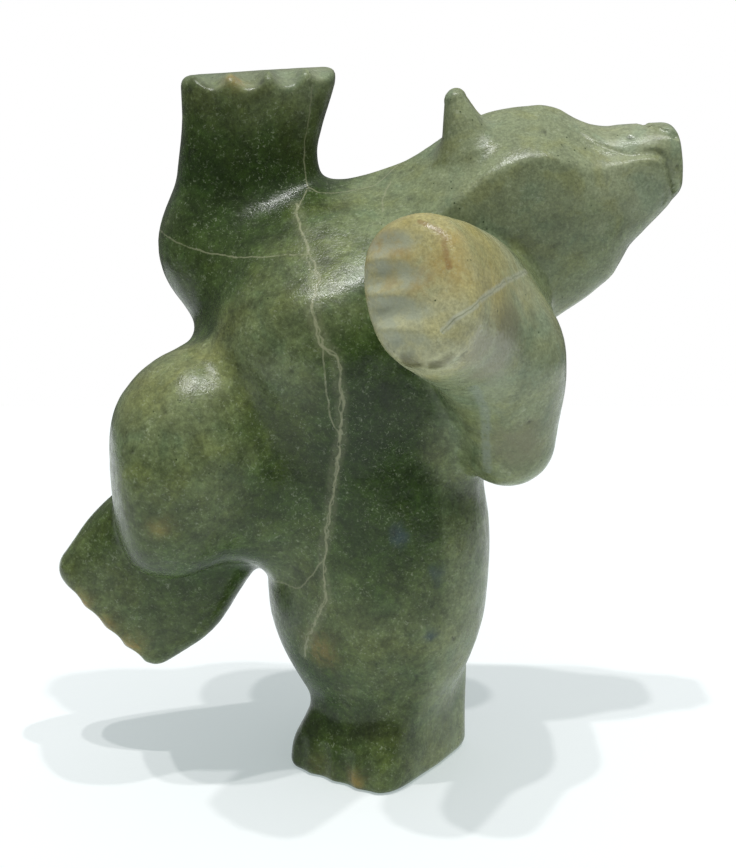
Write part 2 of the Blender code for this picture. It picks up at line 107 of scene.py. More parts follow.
# Raised leg
THIGH_CENTRE = (-0.073, -0.016, 0.1265)
THIGH_SIZES = (0.0322, 0.035, 0.0452)
THIGH_LEAN = (0.30, 0.0, 1.0)
FACET_POINT = (-0.1020, -0.016, 0.131)
FACET_FACES = (-1.0, -0.25, -0.05)
FACET_ROUNDING = 0.008
HIP_CENTRE = (-0.038, -0.002, 0.120)
HIP_SIZES = (0.030, 0.034, 0.0385)
HIP_LEAN = (0.1, 0.0, 1.0)
HIP_FILLET = 0.016
FLANK_CENTRE = (-0.0495, 0.002, 0.1450)
FLANK_SIZES = (0.0270, 0.032, 0.0370)
FLANK_FILLET = 0.012
THIGH_FILLET = 0.009
RAISED_ANKLE = np.array((-0.060, 0.006, 0.100))
RAISED_TOES = np.array((-0.1085, 0.004, 0.056))
RAISED_FOOT_SIDE = (1.0, 0.0, -0.83)
# Rows of a limb: share of its length, half width, half thickness, shift in width
RAISED_FOOT = (
    (-0.30, 0.0220, 0.0240, -0.0040),
    (0.00, 0.0268, 0.0220, -0.0048),
    (0.25, 0.0300, 0.0200, -0.0040),
    (0.50, 0.0330, 0.0180, -0.0024),
    (1.00, 0.0288, 0.0125, -0.0012),
)
RAISED_FOOT_SQUARENESS = 2.5
RAISED_FOOT_ROUNDINGS = (0.010, 0.007)
RAISED_FOOT_FILLET = 0.005

# Head, seen from the side: a line from the chest to the nose, and the outline above and below it.
# Rows: distance along, lower edge, ridge, upper edge, half thickness, roundness above the ridge
HEAD_START = np.array((-0.005, 0.014, 0.190))
HEAD_ALONG = (0.118, 0.0, 0.050)
NECK_END = -0.040
NECK_ROUNDING = 0.020
NECK_FILLET = 0.022
JAW_END = 0.1188
JAW_ROUNDING = 0.003
# The nose's front face: where it meets the head's line, and how much further it reaches with height
NOSE_END = 0.1266
NOSE_SLANT = 0.26
NOSE_ROUNDING = 0.006
SKULL_AND_JAW = (
    (-0.045, -0.0200, -0.0010, 0.0240, 0.0310, 1.30),
    (-0.025, -0.0300, -0.0010, 0.0282, 0.0380, 1.30),
    (0.000, -0.0360, 0.0020, 0.0344, 0.0400, 1.25),
    (0.018, -0.0400, 0.0080, 0.0370, 0.0380, 1.20),
    (0.033, -0.0410, 0.0145, 0.0367, 0.0350, 1.20),
    (0.048, -0.0425, 0.0190, 0.0392, 0.0325, 1.20),
    (0.065, -0.0402, 0.0215, 0.0410, 0.0300, 1.25),
    (0.080, -0.0365, 0.0180, 0.0376, 0.0280, 1.25),
    (0.088, -0.0334, 0.0110, 0.0344, 0.0258, 1.25),
    (0.092, -0.0303, 0.0080, 0.0310, 0.0240, 1.25),
    (0.097, -0.0262, 0.0060, 0.0240, 0.0222, 1.25),
    (0.104, -0.0229, 0.0050, 0.0155, 0.0200, 1.25),
    (0.111, -0.0198, 0.0045, 0.0076, 0.0186, 1.30),
    (0.119, -0.0158, 0.0010, 0.0040, 0.0172, 1.40),
)
# How far the crest that runs along each cheek is blunted
CREST = 0.0035
MUZZLE = (
    (0.062, 0.0000, 0.0150, 0.0340, 0.0130, 1.90),
    (0.080, 0.0020, 0.0150, 0.0335, 0.0160, 1.90),
    (0.090, 0.0000, 0.0125, 0.0300, 0.0170, 1.80),
    (0.096, -0.0030, 0.0100, 0.0255, 0.0168, 1.80),
    (0.100, -0.0060, 0.0085, 0.0222, 0.0164, 1.80),
    (0.104, -0.0080, 0.0075, 0.0197, 0.0160, 1.80),
    (0.110, -0.0120, 0.0060, 0.0176, 0.0154, 1.90),
    (0.117, -0.0150, 0.0030, 0.0152, 0.0148, 1.90),
    (0.128, -0.0170, 0.0010, 0.0112, 0.0138, 2.10),
)
ROUNDNESS_BELOW_RIDGE = 1.9
MUZZLE_ROOT_ROUNDING = 0.010
LIP_FILLET = 0.002
EAR_BASE = np.array((0.0334, 0.0, 0.2405))
EAR_TIP = np.array((0.0280, 0.0, 0.2583))
EAR_APART = 0.011
EAR_TURN = 0.0008
EAR_BASE_RADIUS = 0.0108
EAR_TIP_RADIUS = 0.0040
EAR_FILLET = 0.006

# Right arm, raised straight up
FAR_SHOULDER = (-0.026, 0.012, 0.194)
FAR_SHOULDER_RADIUS = 0.026
FAR_ELBOW = (-0.0610, 0.020, 0.2030)
FAR_ELBOW_RADIUS = 0.023
FAR_ELBOW_FILLET = 0.010
FAR_ARM_FILLET = 0.020
FAR_WRIST = np.array((-0.0565, 0.021, 0.200))
FAR_PAW = np.array((-0.0458, 0.016, 0.2686))
FAR_PAW_SIDE = (1.0, 0.14, 0.0)
FAR_FACE = (-0.06, 0.0, 1.0)
FAR_FOREARM = (
    (-0.30, 0.0180, 0.0180, 0.0),
    (0.00, 0.0240, 0.0220, 0.0),
    (0.40, 0.0254, 0.0190, 0.0007),
    (0.70, 0.0258, 0.0170, 0.0005),
    (1.00, 0.0292, 0.0165, 0.0),
)
FAR_FOREARM_SQUARENESS = 2.8
FAR_FOREARM_ROUNDINGS = (0.016, 0.005)

# Left arm, held out in front
NEAR_SHOULDER = (0.010, 0.004, 0.178)
NEAR_SHOULDER_RADIUS = 0.028
NEAR_UPPER_ARM = (0.0345, -0.013, 0.1520)
NEAR_UPPER_ARM_RADIUS = 0.0245
NEAR_ARM_FILLET = 0.018
NEAR_ELBOW = (0.0463, -0.0275, 0.1392)
NEAR_BEND = (0.0452, -0.0400, 0.1710)
ELBOW_RADIUS = 0.0176
ELBOW_FILLET = 0.018
NEAR_WRIST = np.array((0.042, -0.018, 0.177))
NEAR_PAW = np.array((0.0095, -0.0965, 0.2053))
NEAR_PAW_UP = (-0.133, 0.493, 0.860)
NEAR_FOREARM = (
    (-0.30, 0.0260, 0.0200, 0.0),
    (0.00, 0.0300, 0.0205, 0.0000),
    (0.50, 0.0285, 0.0210, 0.0012),
    (1.00, 0.0238, 0.0180, 0.0005),
)
NEAR_FOREARM_SQUARENESS = 2.4
NEAR_FOREARM_ROUNDINGS = (0.020, 0.010)
# Narrow, so that the forearm stands clear of the cheek and the belly
NEAR_FOREARM_FILLET = 0.005

# Hollows carved across each paw, one less than the ridges that stand for the toes.
# For each paw: from one hollow to the next and the radius, the middle of the row as a shift from
# the end of the limb, and how far each hollow runs both ways from the row
HOLLOWS = 4
HOLLOW_EDGE = 0.002
FAR_PAW_HOLLOWS = (0.0138, 0.0062)
FAR_PAW_SHIFT = (0.0030, -0.0080, 0.0046)
FAR_PAW_RUN = (0.0200, 0.0100)
NEAR_PAW_HOLLOWS = (0.0115, 0.0056)
NEAR_PAW_SHIFT = (0.0090, 0.0030)
NEAR_PAW_RUN = (0.0040, 0.0160, -0.0045)
RAISED_FOOT_HOLLOWS = (0.0112, 0.0055)
RAISED_FOOT_SHIFT = 0.0042
RAISED_FOOT_RUN = 0.018
STANDING_FOOT_HOLLOWS = (0.0112, 0.0055)
STANDING_FOOT_SHIFT = (0.0372, 0.0030)
STANDING_FOOT_RUN = (-0.002, 0.010)

TINY = 1e-9
# Where a section's outline is too far inside for its distance to matter
DEEP_INSIDE = 0.05
SLOPE_STEP = 0.0002
LEAST_STEEPNESS = 0.2


def unit(vector):
    vector = np.asarray(vector, float)
    return vector / np.linalg.norm(vector)


def axes_of(along, side):
    """Rows: the side direction, the direction across both, and the length of a form."""
    along = unit(along)
    side = np.asarray(side, float)
    side = unit(side - side.dot(along) * along)
    return np.array((side, np.cross(along, side), along))


def join(first, second, fillet):
    """Two forms as one, with a fillet where they meet."""
    share = np.clip(0.5 + 0.5 * (second - first) / fillet, 0.0, 1.0)
    return second * (1.0 - share) + first * share - fillet * share * (1.0 - share)


def cut(form, cutter, rounding):
    """What of the form is also inside the cutter's side, with a rounded edge."""
    return -join(-form, -cutter, rounding)


def curve_through(where, stations, values):
    """A smooth curve through the stations' values, level past both ends."""
    where = np.clip(where, stations[0], stations[-1])
    slopes = np.gradient(values, stations)
    low = np.clip(np.searchsorted(stations, where) - 1, 0, len(stations) - 2)
    width = stations[low + 1] - stations[low]
    u = (where - stations[low]) / width
    start = (2 * u**3 - 3 * u**2 + 1) * values[low] + (u**3 - 2 * u**2 + u) * width * slopes[low]
    end = (3 * u**2 - 2 * u**3) * values[low + 1] + (u**3 - u**2) * width * slopes[low + 1]
    return start + end


def oval(a, b, half_a, half_b, power):
    """Distance to an oval outline; a power of 2 is an ellipse, more is squarer."""
    a = np.abs(a) / half_a + TINY**0.5
    b = np.abs(b) / half_b + TINY**0.5
    scaled = (a**power + b**power) ** (1.0 / power)
    slope = np.hypot(a ** (power - 1) / half_a, b ** (power - 1) / half_b) / scaled ** (power - 1)
    return (scaled - 1.0) / slope


def egg(points, centre, sizes, along=UP, side=ALONG_X):
    local = (points - np.asarray(centre)) @ axes_of(along, side).T
    scaled = np.linalg.norm(local / sizes, axis=1) + TINY
    slope = np.linalg.norm(local / np.square(sizes), axis=1) + TINY
    return scaled * (scaled - 1.0) / slope


def round_limb(points, start, end, start_radius, end_radius):
    start = np.asarray(start, float)
    line = np.asarray(end, float) - start
    share = np.clip((points - start) @ line / line.dot(line), 0.0, 1.0)
    radius = start_radius + (end_radius - start_radius) * share
    return np.linalg.norm(points - start - share[:, None] * line, axis=1) - radius


def stack(points, rows, squareness):
    """A form built up in height from oval sections across the body."""
    rows = np.array(rows)
    side, back = LEFT, -FORWARD
    sizes = [curve_through(points[:, 2], rows[:, 0], rows[:, k]) for k in range(1, 5)]
    wide, deep, shift_left, shift_back = sizes
    return oval(points @ side - shift_left, points @ back - shift_back, wide, deep, squareness)


def flat_limb(points, start, end, side, rows, squareness, end_faces, roundings):
    """A limb wider than it is thick, cut off at both ends."""
    rows = np.array(rows)
    length = np.linalg.norm(end - start)
    local = (points - start) @ axes_of(end - start, side).T
    share = local[:, 2] / length
    wide, thick, shift = (curve_through(share, rows[:, 0], rows[:, k]) for k in range(1, 4))
    limb = oval(local[:, 0] - shift, local[:, 1], wide, thick, squareness)
    limb = cut(limb, (points - end) @ unit(end_faces), roundings[1])
    return cut(limb, rows[0, 0] * length - local[:, 2], roundings[0])


def trunk(points):
    body = stack(points, TRUNK, TRUNK_SQUARENESS)
    body = cut(body, points[:, 2] - TRUNK_TOP, TRUNK_TOP_ROUNDING)
    chest = egg(points, CHEST_CENTRE, CHEST_SIZES, side=LEFT)
    slope = (points - np.asarray(BREAST_POINT)) @ unit(BREAST_FACES)
    chest = cut(chest, slope, BREAST_ROUNDING)
    return join(body, chest, CHEST_FILLET)


def standing_foot(points):
    foot = stack(points, SOLE, SOLE_SQUARENESS)
    return cut(foot, points[:, 2] - SOLE[-1][0], ANKLE_ROUNDING)


def raised_thigh(points):
    thigh = egg(points, THIGH_CENTRE, THIGH_SIZES, THIGH_LEAN)
    facet = (points - np.asarray(FACET_POINT)) @ unit(FACET_FACES)
    thigh = cut(thigh, facet, FACET_ROUNDING)
    hip = egg(points, HIP_CENTRE, HIP_SIZES, HIP_LEAN)
    flank = egg(points, FLANK_CENTRE, FLANK_SIZES, THIGH_LEAN)
    return join(join(thigh, hip, HIP_FILLET), flank, FLANK_FILLET)


def raised_foot(points):
    return flat_limb(points, RAISED_ANKLE, RAISED_TOES, RAISED_FOOT_SIDE, RAISED_FOOT,
                     RAISED_FOOT_SQUARENESS, RAISED_TOES - RAISED_ANKLE, RAISED_FOOT_ROUNDINGS)


def roof(rise, sideways, height, half_width, roundness):
    """Distance to the upper half of a section: flat slopes from a level top to a crest each side."""
    crest = CREST / height
    level = np.hypot(1.0, crest) - crest
    a = np.abs(rise) / height
    b = np.abs(sideways) / half_width + TINY**0.5
    value = np.maximum((np.hypot(a, crest) - crest) / level + b**roundness, DEEP_INSIDE)
    scaled = value ** (1.0 / roundness)
    slope = np.hypot(a / np.hypot(a, crest) / level / height / roundness,
                     b ** (roundness - 1.0) / half_width)
    return (scaled - 1.0) / (slope * scaled / value)


def in_profile(local, rows, section):
    """An endless form given by its side view. The section is used above its ridge."""
    rows = np.array(rows)
    rise, sideways, along = local.T
    sizes = [curve_through(along, rows[:, 0], rows[:, k]) for k in range(1, 6)]
    lower, ridge, upper, thick, roundness = sizes
    rise = rise - ridge
    above = section(rise, sideways, upper - ridge, thick, roundness)
    below = oval(rise, sideways, ridge - lower, thick, ROUNDNESS_BELOW_RIDGE)
    return np.where(rise > 0.0, above, below)


def head(points):
    local = (points - HEAD_START) @ axes_of(HEAD_ALONG, UP).T
    rise, _, along = local.T
    skull = cut(in_profile(local, SKULL_AND_JAW, roof), NECK_END - along, NECK_ROUNDING)
    skull = cut(skull, along - JAW_END, JAW_ROUNDING)
    muzzle = in_profile(local, MUZZLE, oval)
    muzzle = cut(muzzle, MUZZLE[0][0] - along, MUZZLE_ROOT_ROUNDING)
    muzzle = cut(muzzle, along - NOSE_SLANT * rise - NOSE_END, NOSE_ROUNDING)
    return join(skull, muzzle, LIP_FILLET)


def ear_places():
    """Where the left and the right ear stand, either side of the head's middle."""
    return [np.array((way * EAR_TURN, HEAD_START[1] + way * EAR_APART, 0.0)) for way in (-1, 1)]


def ears(points):
    left, right = (round_limb(points, EAR_BASE + place, EAR_TIP + place, EAR_BASE_RADIUS,
                              EAR_TIP_RADIUS) for place in ear_places())
    return np.minimum(left, right)


def far_arm(points):
    upper = round_limb(points, FAR_SHOULDER, FAR_ELBOW, FAR_SHOULDER_RADIUS, FAR_ELBOW_RADIUS)
    forearm = flat_limb(points, FAR_WRIST, FAR_PAW, FAR_PAW_SIDE, FAR_FOREARM,
                        FAR_FOREARM_SQUARENESS, FAR_FACE, FAR_FOREARM_ROUNDINGS)
    return join(upper, forearm, FAR_ELBOW_FILLET)


def near_upper_arm(points):
    return round_limb(points, NEAR_SHOULDER, NEAR_UPPER_ARM, NEAR_SHOULDER_RADIUS,
                      NEAR_UPPER_ARM_RADIUS)


def near_forearm(points):
    elbow = round_limb(points, NEAR_ELBOW, NEAR_BEND, ELBOW_RADIUS, ELBOW_RADIUS)
    forearm = flat_limb(points, NEAR_WRIST, NEAR_PAW, NEAR_PAW_UP, NEAR_FOREARM,
                        NEAR_FOREARM_SQUARENESS, NEAR_PAW - NEAR_WRIST, NEAR_FOREARM_ROUNDINGS)
    return join(elbow, forearm, ELBOW_FILLET)


def hollows(points, middle, across, run, spacing_and_radius):
    """Round grooves side by side: each runs both ways from the row, which goes across the paw."""
    spacing, radius = spacing_and_radius
    grooves = []
    for number in range(HOLLOWS):
        centre = middle + across * spacing * (number - 0.5 * (HOLLOWS - 1))
        grooves.append(round_limb(points, centre - run, centre + run, radius, radius))
    return np.min(grooves, axis=0)


def far_paw_hollows(points):
    across, back, out = axes_of(FAR_FACE, FAR_PAW_SIDE)
    middle = FAR_PAW + np.array(FAR_PAW_SHIFT) @ (across, back, out)
    run = back * FAR_PAW_RUN[0] + out * FAR_PAW_RUN[1]
    return hollows(points, middle, across, run, FAR_PAW_HOLLOWS)


def near_paw_hollows(points):
    up, palm, out = axes_of(NEAR_PAW - NEAR_WRIST, NEAR_PAW_UP)
    middle = NEAR_PAW + palm * NEAR_PAW_SHIFT[0] + out * NEAR_PAW_SHIFT[1]
    run = np.array(NEAR_PAW_RUN) @ (up, palm, out)
    return hollows(points, middle, up, run, NEAR_PAW_HOLLOWS)


def raised_foot_hollows(points):
    across, sideways, out = axes_of(RAISED_TOES - RAISED_ANKLE, RAISED_FOOT_SIDE)
    middle = RAISED_TOES + out * RAISED_FOOT_SHIFT
    return hollows(points, middle, across, sideways * RAISED_FOOT_RUN, RAISED_FOOT_HOLLOWS)


def standing_foot_hollows(points):
    middle = FORWARD * STANDING_FOOT_SHIFT[0] + UP * STANDING_FOOT_SHIFT[1]
    run = FORWARD * STANDING_FOOT_RUN[0] + UP * STANDING_FOOT_RUN[1]
    return hollows(points, middle, LEFT, run, STANDING_FOOT_HOLLOWS)


def bear(points):
    """Distance from each point to the finished surface: negative inside the stone."""
    form = join(trunk(points), standing_foot(points), ANKLE_FILLET)
    form = join(form, head(points), NECK_FILLET)
    form = join(form, ears(points), EAR_FILLET)
    form = join(form, raised_thigh(points), THIGH_FILLET)
    form = join(form, raised_foot(points), RAISED_FOOT_FILLET)
    form = join(form, far_arm(points), FAR_ARM_FILLET)
    form = join(form, near_upper_arm(points), NEAR_ARM_FILLET)
    form = join(form, near_forearm(points), NEAR_FOREARM_FILLET)
    for carved in (far_paw_hollows, near_paw_hollows, raised_foot_hollows, standing_foot_hollows):
        form = cut(form, -carved(points), HOLLOW_EDGE)
    return cut(form, -points[:, 2], SOLE_EDGE)


# --- Colours ---

COLOURS = {
    "ink": (0.016, 0.036, 0.004),
    "deep": (0.030, 0.058, 0.009),
    "forest": (0.050, 0.075, 0.016),
    "moss": (0.074, 0.104, 0.035),
    "olive": (0.104, 0.134, 0.050),
    "sage": (0.134, 0.170, 0.076),
    "yellow": (0.190, 0.210, 0.085),
    "light": (0.185, 0.225, 0.112),
    "pale": (0.225, 0.262, 0.145),
    "bright": (0.320, 0.355, 0.215),
    "tan": (0.400, 0.365, 0.155),
    "cream": (0.430, 0.435, 0.260),
    "orange": (0.370, 0.250, 0.065),
    "ash": (0.215, 0.212, 0.125),
    "umber": (0.095, 0.090, 0.030),
    "blue": (0.045, 0.078, 0.085),
    "frost": (0.370, 0.405, 0.300),
    "chalk": (0.500, 0.520, 0.390),
    "mist": (0.230, 0.275, 0.215),
    "vein": (0.310, 0.325, 0.195),
    "brown": (0.230, 0.120, 0.045),
    # Painted shade for the pits and the crack
    "pit_shade": (0.012, 0.014, 0.010),
}

# --- Fine surface ---

FINE_VOXEL = 0.0009
MOST_TRIANGLES = 197000
NOISE_SEED = 11

# Unevenness left by the file and sandpaper: size of the waves and how deep they are
WAVES = ((0.0130, 0.00016), (0.0055, 0.00007), (0.0024, 0.000035))

# Strokes of a small gouge that finish each side of the muzzle.
# Places along a stroke: distance along the head, height, distance sideways; then its radius there.
# The places in the strokes and lines below were worked out by another program and copied in
MOUTH = ((0.1128, 0.0065, 0.0158, 0.0010), (0.1155, 0.0060, 0.0155, 0.0016),
         (0.1174, 0.0049, 0.0154, 0.0019), (0.1184, 0.0029, 0.0157, 0.0019),
         (0.1191, 0.0000, 0.0160, 0.0019), (0.1195, -0.0038, 0.0145, 0.0019),
         (0.1197, -0.0077, 0.0127, 0.0017), (0.1196, -0.0121, 0.0091, 0.0014))
LIP_LINE = ((0.0940, 0.0217, 0.0122, 0.0006), (0.0971, 0.0170, 0.0141, 0.0007),
            (0.1004, 0.0137, 0.0148, 0.0007), (0.1038, 0.0108, 0.0156, 0.0007),
            (0.1076, 0.0077, 0.0165, 0.0007), (0.1128, 0.0060, 0.0174, 0.0007))
NOSE_CREASE = ((0.1190, 0.0141, 0.0048, 0.0014), (0.1213, 0.0120, 0.0079, 0.0015),
               (0.1240, 0.0099, 0.0098, 0.0016), (0.1264, 0.0071, 0.0108, 0.0020))
NOSE_NOTCH = ((0.1184, 0.0158, 0.0000, 0.0019), (0.1192, 0.0148, 0.0040, 0.0018))
CHIN_CREASE = ((0.1146, -0.0115, 0.0127, 0.0008), (0.1140, -0.0148, 0.0098, 0.0008))
STROKES = (MOUTH, LIP_LINE, NOSE_CREASE, NOSE_NOTCH, CHIN_CREASE)
STROKE_EDGE = 0.0005

# Crack across the near arm, and other veins in the stone: places along them, on the surface
CRACK = ((0.0507, -0.0358, 0.2015), (0.0398, -0.0719, 0.2031), (0.0302, -0.0969, 0.2014),
         (0.0225, -0.1033, 0.1969), (0.0194, -0.1041, 0.1939))
BELLY_VEIN = ((-0.030, -0.005, 0.218), (-0.026, -0.019, 0.204), (-0.021, -0.030, 0.191),
              (-0.023, -0.035, 0.184), (-0.020, -0.038, 0.176), (-0.016, -0.039, 0.173),
              (-0.014, -0.042, 0.158), (-0.014, -0.043, 0.144), (-0.018, -0.038, 0.119),
              (-0.021, -0.033, 0.094), (-0.020, -0.033, 0.078), (-0.029, -0.023, 0.054))
SIDE_STRAND = ((-0.020, -0.038, 0.176), (-0.0195, -0.041, 0.166), (-0.018, -0.043, 0.152),
               (-0.015, -0.043, 0.145))
LEG_STRAND = ((-0.021, -0.033, 0.094), (-0.025, -0.030, 0.087), (-0.030, -0.026, 0.080),
              (-0.036, -0.019, 0.080), (-0.044, -0.005, 0.077))
SHOULDER_VEIN = ((-0.083, 0.013, 0.210), (-0.072, -0.002, 0.206), (-0.064, -0.005, 0.204),
                 (-0.054, -0.009, 0.202), (-0.039, -0.018, 0.200), (-0.026, -0.022, 0.201))
ARM_VEIN = ((-0.025, 0.005, 0.262), (-0.027, 0.006, 0.244), (-0.027, 0.005, 0.226),
            (-0.022, 0.002, 0.223), (-0.014, 0.002, 0.224), (-0.002, 0.004, 0.228),
            (0.006, 0.012, 0.234))
LINK_VEIN = ((-0.027, 0.004, 0.225), (-0.030, -0.005, 0.218))
NECK_VEIN = ((0.003, 0.002, 0.230), (0.001, -0.004, 0.224), (0.001, -0.010, 0.219))
STAIN_LINE = ((0.013, -0.089, 0.224), (0.019, -0.092, 0.221), (0.019, -0.095, 0.218),
              (0.020, -0.097, 0.213))
ARM_CREASE = ((0.0308, -0.0694, 0.1672), (0.0353, -0.0562, 0.1565), (0.0371, -0.0460, 0.1432),
              (0.0380, -0.0408, 0.1318))
# Each kind of line that the material draws, with the lines of that kind
LINES = {
    "vein": (BELLY_VEIN,),
    "thread": (SIDE_STRAND, LEG_STRAND, SHOULDER_VEIN, ARM_VEIN, LINK_VEIN, NECK_VEIN),
    "crack": (CRACK,),
    "stain": (STAIN_LINE,),
    "crease": (ARM_CREASE,),
}
# Lines are laid on the stone in steps of this length, each brought onto the surface in so many passes
LINE_STEP = 0.004
LAYING_PASSES = 12
# Distance kept for a point that no line is near
FAR_OFF = 0.02

# Ground colour of the stone, region by region, with a painted sheen down the standing leg's right
# edge.
# On the trunk: height, then the green at each of the columns
TRUNK_COLUMNS = ((-0.032, -0.026), (0.000, -0.042), (0.034, -0.016), (0.004, 0.042))
TRUNK_GREENS = (
    (0.195, "olive", "sage", "sage", "moss"),
    (0.170, "sage", "deep", "sage", "moss"),
    (0.145, "forest", "ink", "olive", "deep"),
    (0.120, "deep", "deep", "moss", "forest"),
    (0.095, "moss", "deep", "sage", "forest"),
    # From here down, the third column's light green is partly the stone's own and partly a painted
    # sheen along the standing leg's right edge, where the surface turns away
    (0.070, "moss", "olive", "light", "olive"),
    (0.045, "deep", "moss", "light", "olive"),
    (0.020, "deep", "forest", "sage", "forest"),
    (0.004, "forest", "moss", "light", "forest"),
)
# Along the limbs and head: from where to where, the shift from there to the skin, and the greens on
# the way, evenly spaced
TO_FRONT = np.array((0.0, -0.020, 0.0))
SKULL_TOP = HEAD_START + 0.60 * np.array(HEAD_ALONG) + 0.035 * UP
NOSE = HEAD_START + np.array(HEAD_ALONG)
THIGH_TOP = np.array(THIGH_CENTRE) + 0.040 * UP
THIGH_FOOT = np.array(THIGH_CENTRE) - 0.040 * UP
LIMB_GREENS = (
    (FAR_PAW, FAR_WRIST, TO_FRONT, ("pale", "forest", "ink", "ink", "deep")),
    (FAR_PAW, FAR_WRIST, -TO_FRONT, ("pale", "olive", "moss", "deep")),
    (FAR_ELBOW, FAR_SHOULDER, TO_FRONT, ("moss", "deep", "olive")),
    (THIGH_TOP, THIGH_FOOT, 1.5 * TO_FRONT,
     ("yellow", "sage", "olive", "moss", "deep")),
    (THIGH_CENTRE, THIGH_FOOT, -TO_FRONT, ("moss", "forest")),
    (RAISED_ANKLE, RAISED_TOES, TO_FRONT, ("deep", "deep", "moss", "olive")),
    (RAISED_ANKLE, RAISED_TOES, -TO_FRONT, ("forest", "forest", "moss")),
    (HEAD_START, SKULL_TOP, 1.5 * TO_FRONT, ("sage", "light", "pale", "pale")),
    (HEAD_START, SKULL_TOP, -1.5 * TO_FRONT, ("moss", "light", "pale")),
    (SKULL_TOP, NOSE, TO_FRONT, ("pale", "bright", "pale")),
    (HEAD_START + 0.30 * np.array(HEAD_ALONG), NOSE, -0.030 * UP, ("light", "light", "sage")),
    (NEAR_UPPER_ARM, NEAR_ELBOW, TO_FRONT, ("sage", "light")),
    (NEAR_ELBOW, NEAR_BEND, TO_FRONT, ("pale", "pale")),
    (NEAR_WRIST, NEAR_PAW, 0.010 * UP, ("light", "cream", "tan", "tan")),
    (NEAR_WRIST, NEAR_PAW, -0.010 * UP, ("pale", "pale", "cream")),
)
GROUND_REACH = 0.016
# Size, reach and seed of the noise that makes the edges of the ground colours and patches uneven
GROUND_WARP = (0.018, 0.007, 40)
PATCH_WARP = (0.008, 0.002, 30)
# How far from a paw's hollows their pale stone fades. The far paw's hollows show it less
HOLLOW_FADE = 0.0012
FAR_PAW_FAINTER = 0.0013

# Patches of colour in the stone: name, then centre, reach and strength of each patch. These centres
# and the pits' places came from another program too
PATCHES = {
    "orange": (
        ((-0.001, -0.085, 0.216), 0.0048, 1.0),
        ((0.005, -0.090, 0.216), 0.0045, 1.0),
        ((0.003, -0.091, 0.206), 0.0045, 0.8),
        ((0.012, -0.096, 0.208), 0.0055, 0.9),
        ((0.020, -0.097, 0.212), 0.0065, 0.75),
        ((0.021, -0.093, 0.219), 0.0045, 0.6),
        ((-0.053, 0.002, 0.266), 0.0035, 1.0),
        ((-0.117, -0.004, 0.066), 0.0050, 0.8),
        ((-0.108, -0.006, 0.057), 0.0050, 0.8),
        ((-0.098, -0.006, 0.049), 0.0050, 0.7),
        ((-0.079, -0.049, 0.111), 0.0045, 0.5),
        ((-0.023, -0.029, 0.057), 0.0070, 0.4),
        ((-0.028, -0.030, 0.004), 0.0060, 0.9),
        ((-0.012, -0.036, 0.003), 0.0050, 0.9),
    ),
    "ash": (
        ((0.040, -0.078, 0.187), 0.013, 1.0),
        ((0.036, -0.080, 0.177), 0.012, 0.9),
        ((0.031, -0.093, 0.185), 0.010, 0.9),
        ((0.049, -0.047, 0.142), 0.014, 0.8),
    ),
    "umber": (
        ((0.009, -0.099, 0.182), 0.0050, 1.0),
        ((0.018, -0.100, 0.182), 0.0050, 0.9),
        ((0.025, -0.098, 0.184), 0.0025, 1.0),
        ((0.017, -0.098, 0.180), 0.0035, 1.0),
    ),
    "blue": (
        ((0.007, -0.041, 0.106), 0.005, 0.9),
        ((0.020, -0.034, 0.090), 0.006, 0.9),
        ((0.018, -0.036, 0.066), 0.004, 1.0),
    ),
}

# Pits seen on the stone: place, reach and depth. More are scattered over it
PITS = (
    ((0.022, -0.103, 0.196), 0.0008, 0.0005),
    ((-0.014, -0.033, 0.189), 0.0009, 0.0006),
    ((0.033, -0.064, 0.142), 0.0012, 0.0006),
    ((0.045, -0.068, 0.156), 0.0011, 0.0006),
    ((0.005, -0.041, 0.108), 0.0010, 0.0004),
)
SCATTERED_PITS = 60
SCATTERED_REACHES = (0.0007, 0.0012)
SCATTERED_DEPTH = 0.35
# Pits this deep or deeper are drawn at full darkness. The darkness is painted shade, deeper where a
# pit or the crack is cut deeper
DARK_PIT = 0.0005
# The crack: how it wanders, its depth and half width, its mean depth and how unevenly it is broken
CRACK_WARP = (0.006, 0.0010, 3)
CRACK_DEPTH = 0.00020
CRACK_WIDTH = 0.0005
CRACK_EVEN = 0.6
CRACK_UNEVEN = 0.4
CRACK_NOISE = (0.004, 2, 9)
# Nothing is cut this near the sole, and less than the full depth up to the second height above that
SOLE_UNCUT = 0.0008
SOLE_FADE = 0.004

NOISE_ROUGHNESS = 0.9
NOISE_STEP = 2.0
NOISE_SHIFT = (7.3, 3.1, 5.7)
# Longest step of a point towards the surface, and the passes before and after thinning
LONGEST_STEP = 0.001
PASSES_BEFORE = 3
PASSES_AFTER = 1


def noise_at(points, size, octaves, seed):
    """Fractal noise, mostly between -1 and 1, whose waves are about as long as the size."""
    shift = Vector([seed * part for part in NOISE_SHIFT])
    values = []
    for point in points:
        place = Vector(point) / size + shift
        values.append(noise.fractal(place, NOISE_ROUGHNESS, NOISE_STEP, octaves))
    return np.array(values)


def warped(points, size, reach, seed):
    """The points moved about by noise, so that what is drawn at them gets an uneven edge."""
    moves = [noise_at(points, size, 3, seed + axis) for axis in range(3)]
    return points + reach * np.stack(moves, axis=1)


def distance_to_line(points, places):
    runs = []
    for start, end in zip(places[:-1], places[1:]):
        runs.append(round_limb(points, start, end, 0.0, 0.0))
    return np.min(runs, axis=0)


def strokes(points):
    """Distance to the gouge strokes on both sides of the muzzle."""
    rise, sideways, along = ((points - HEAD_START) @ axes_of(HEAD_ALONG, UP).T).T
    local = np.stack((along, rise, np.abs(sideways)), axis=1)
    runs = []
    for stroke in STROKES:
        for start, end in zip(stroke[:-1], stroke[1:]):
            runs.append(round_limb(local, start[:3], end[:3], start[3], end[3]))
    return np.min(runs, axis=0)


def finished(points):
    return cut(bear(points), -strokes(points), STROKE_EDGE)


def points_of(mesh):
    points = np.empty(len(mesh.vertices) * 3)
    mesh.vertices.foreach_get("co", points)
    return points.reshape(-1, 3)


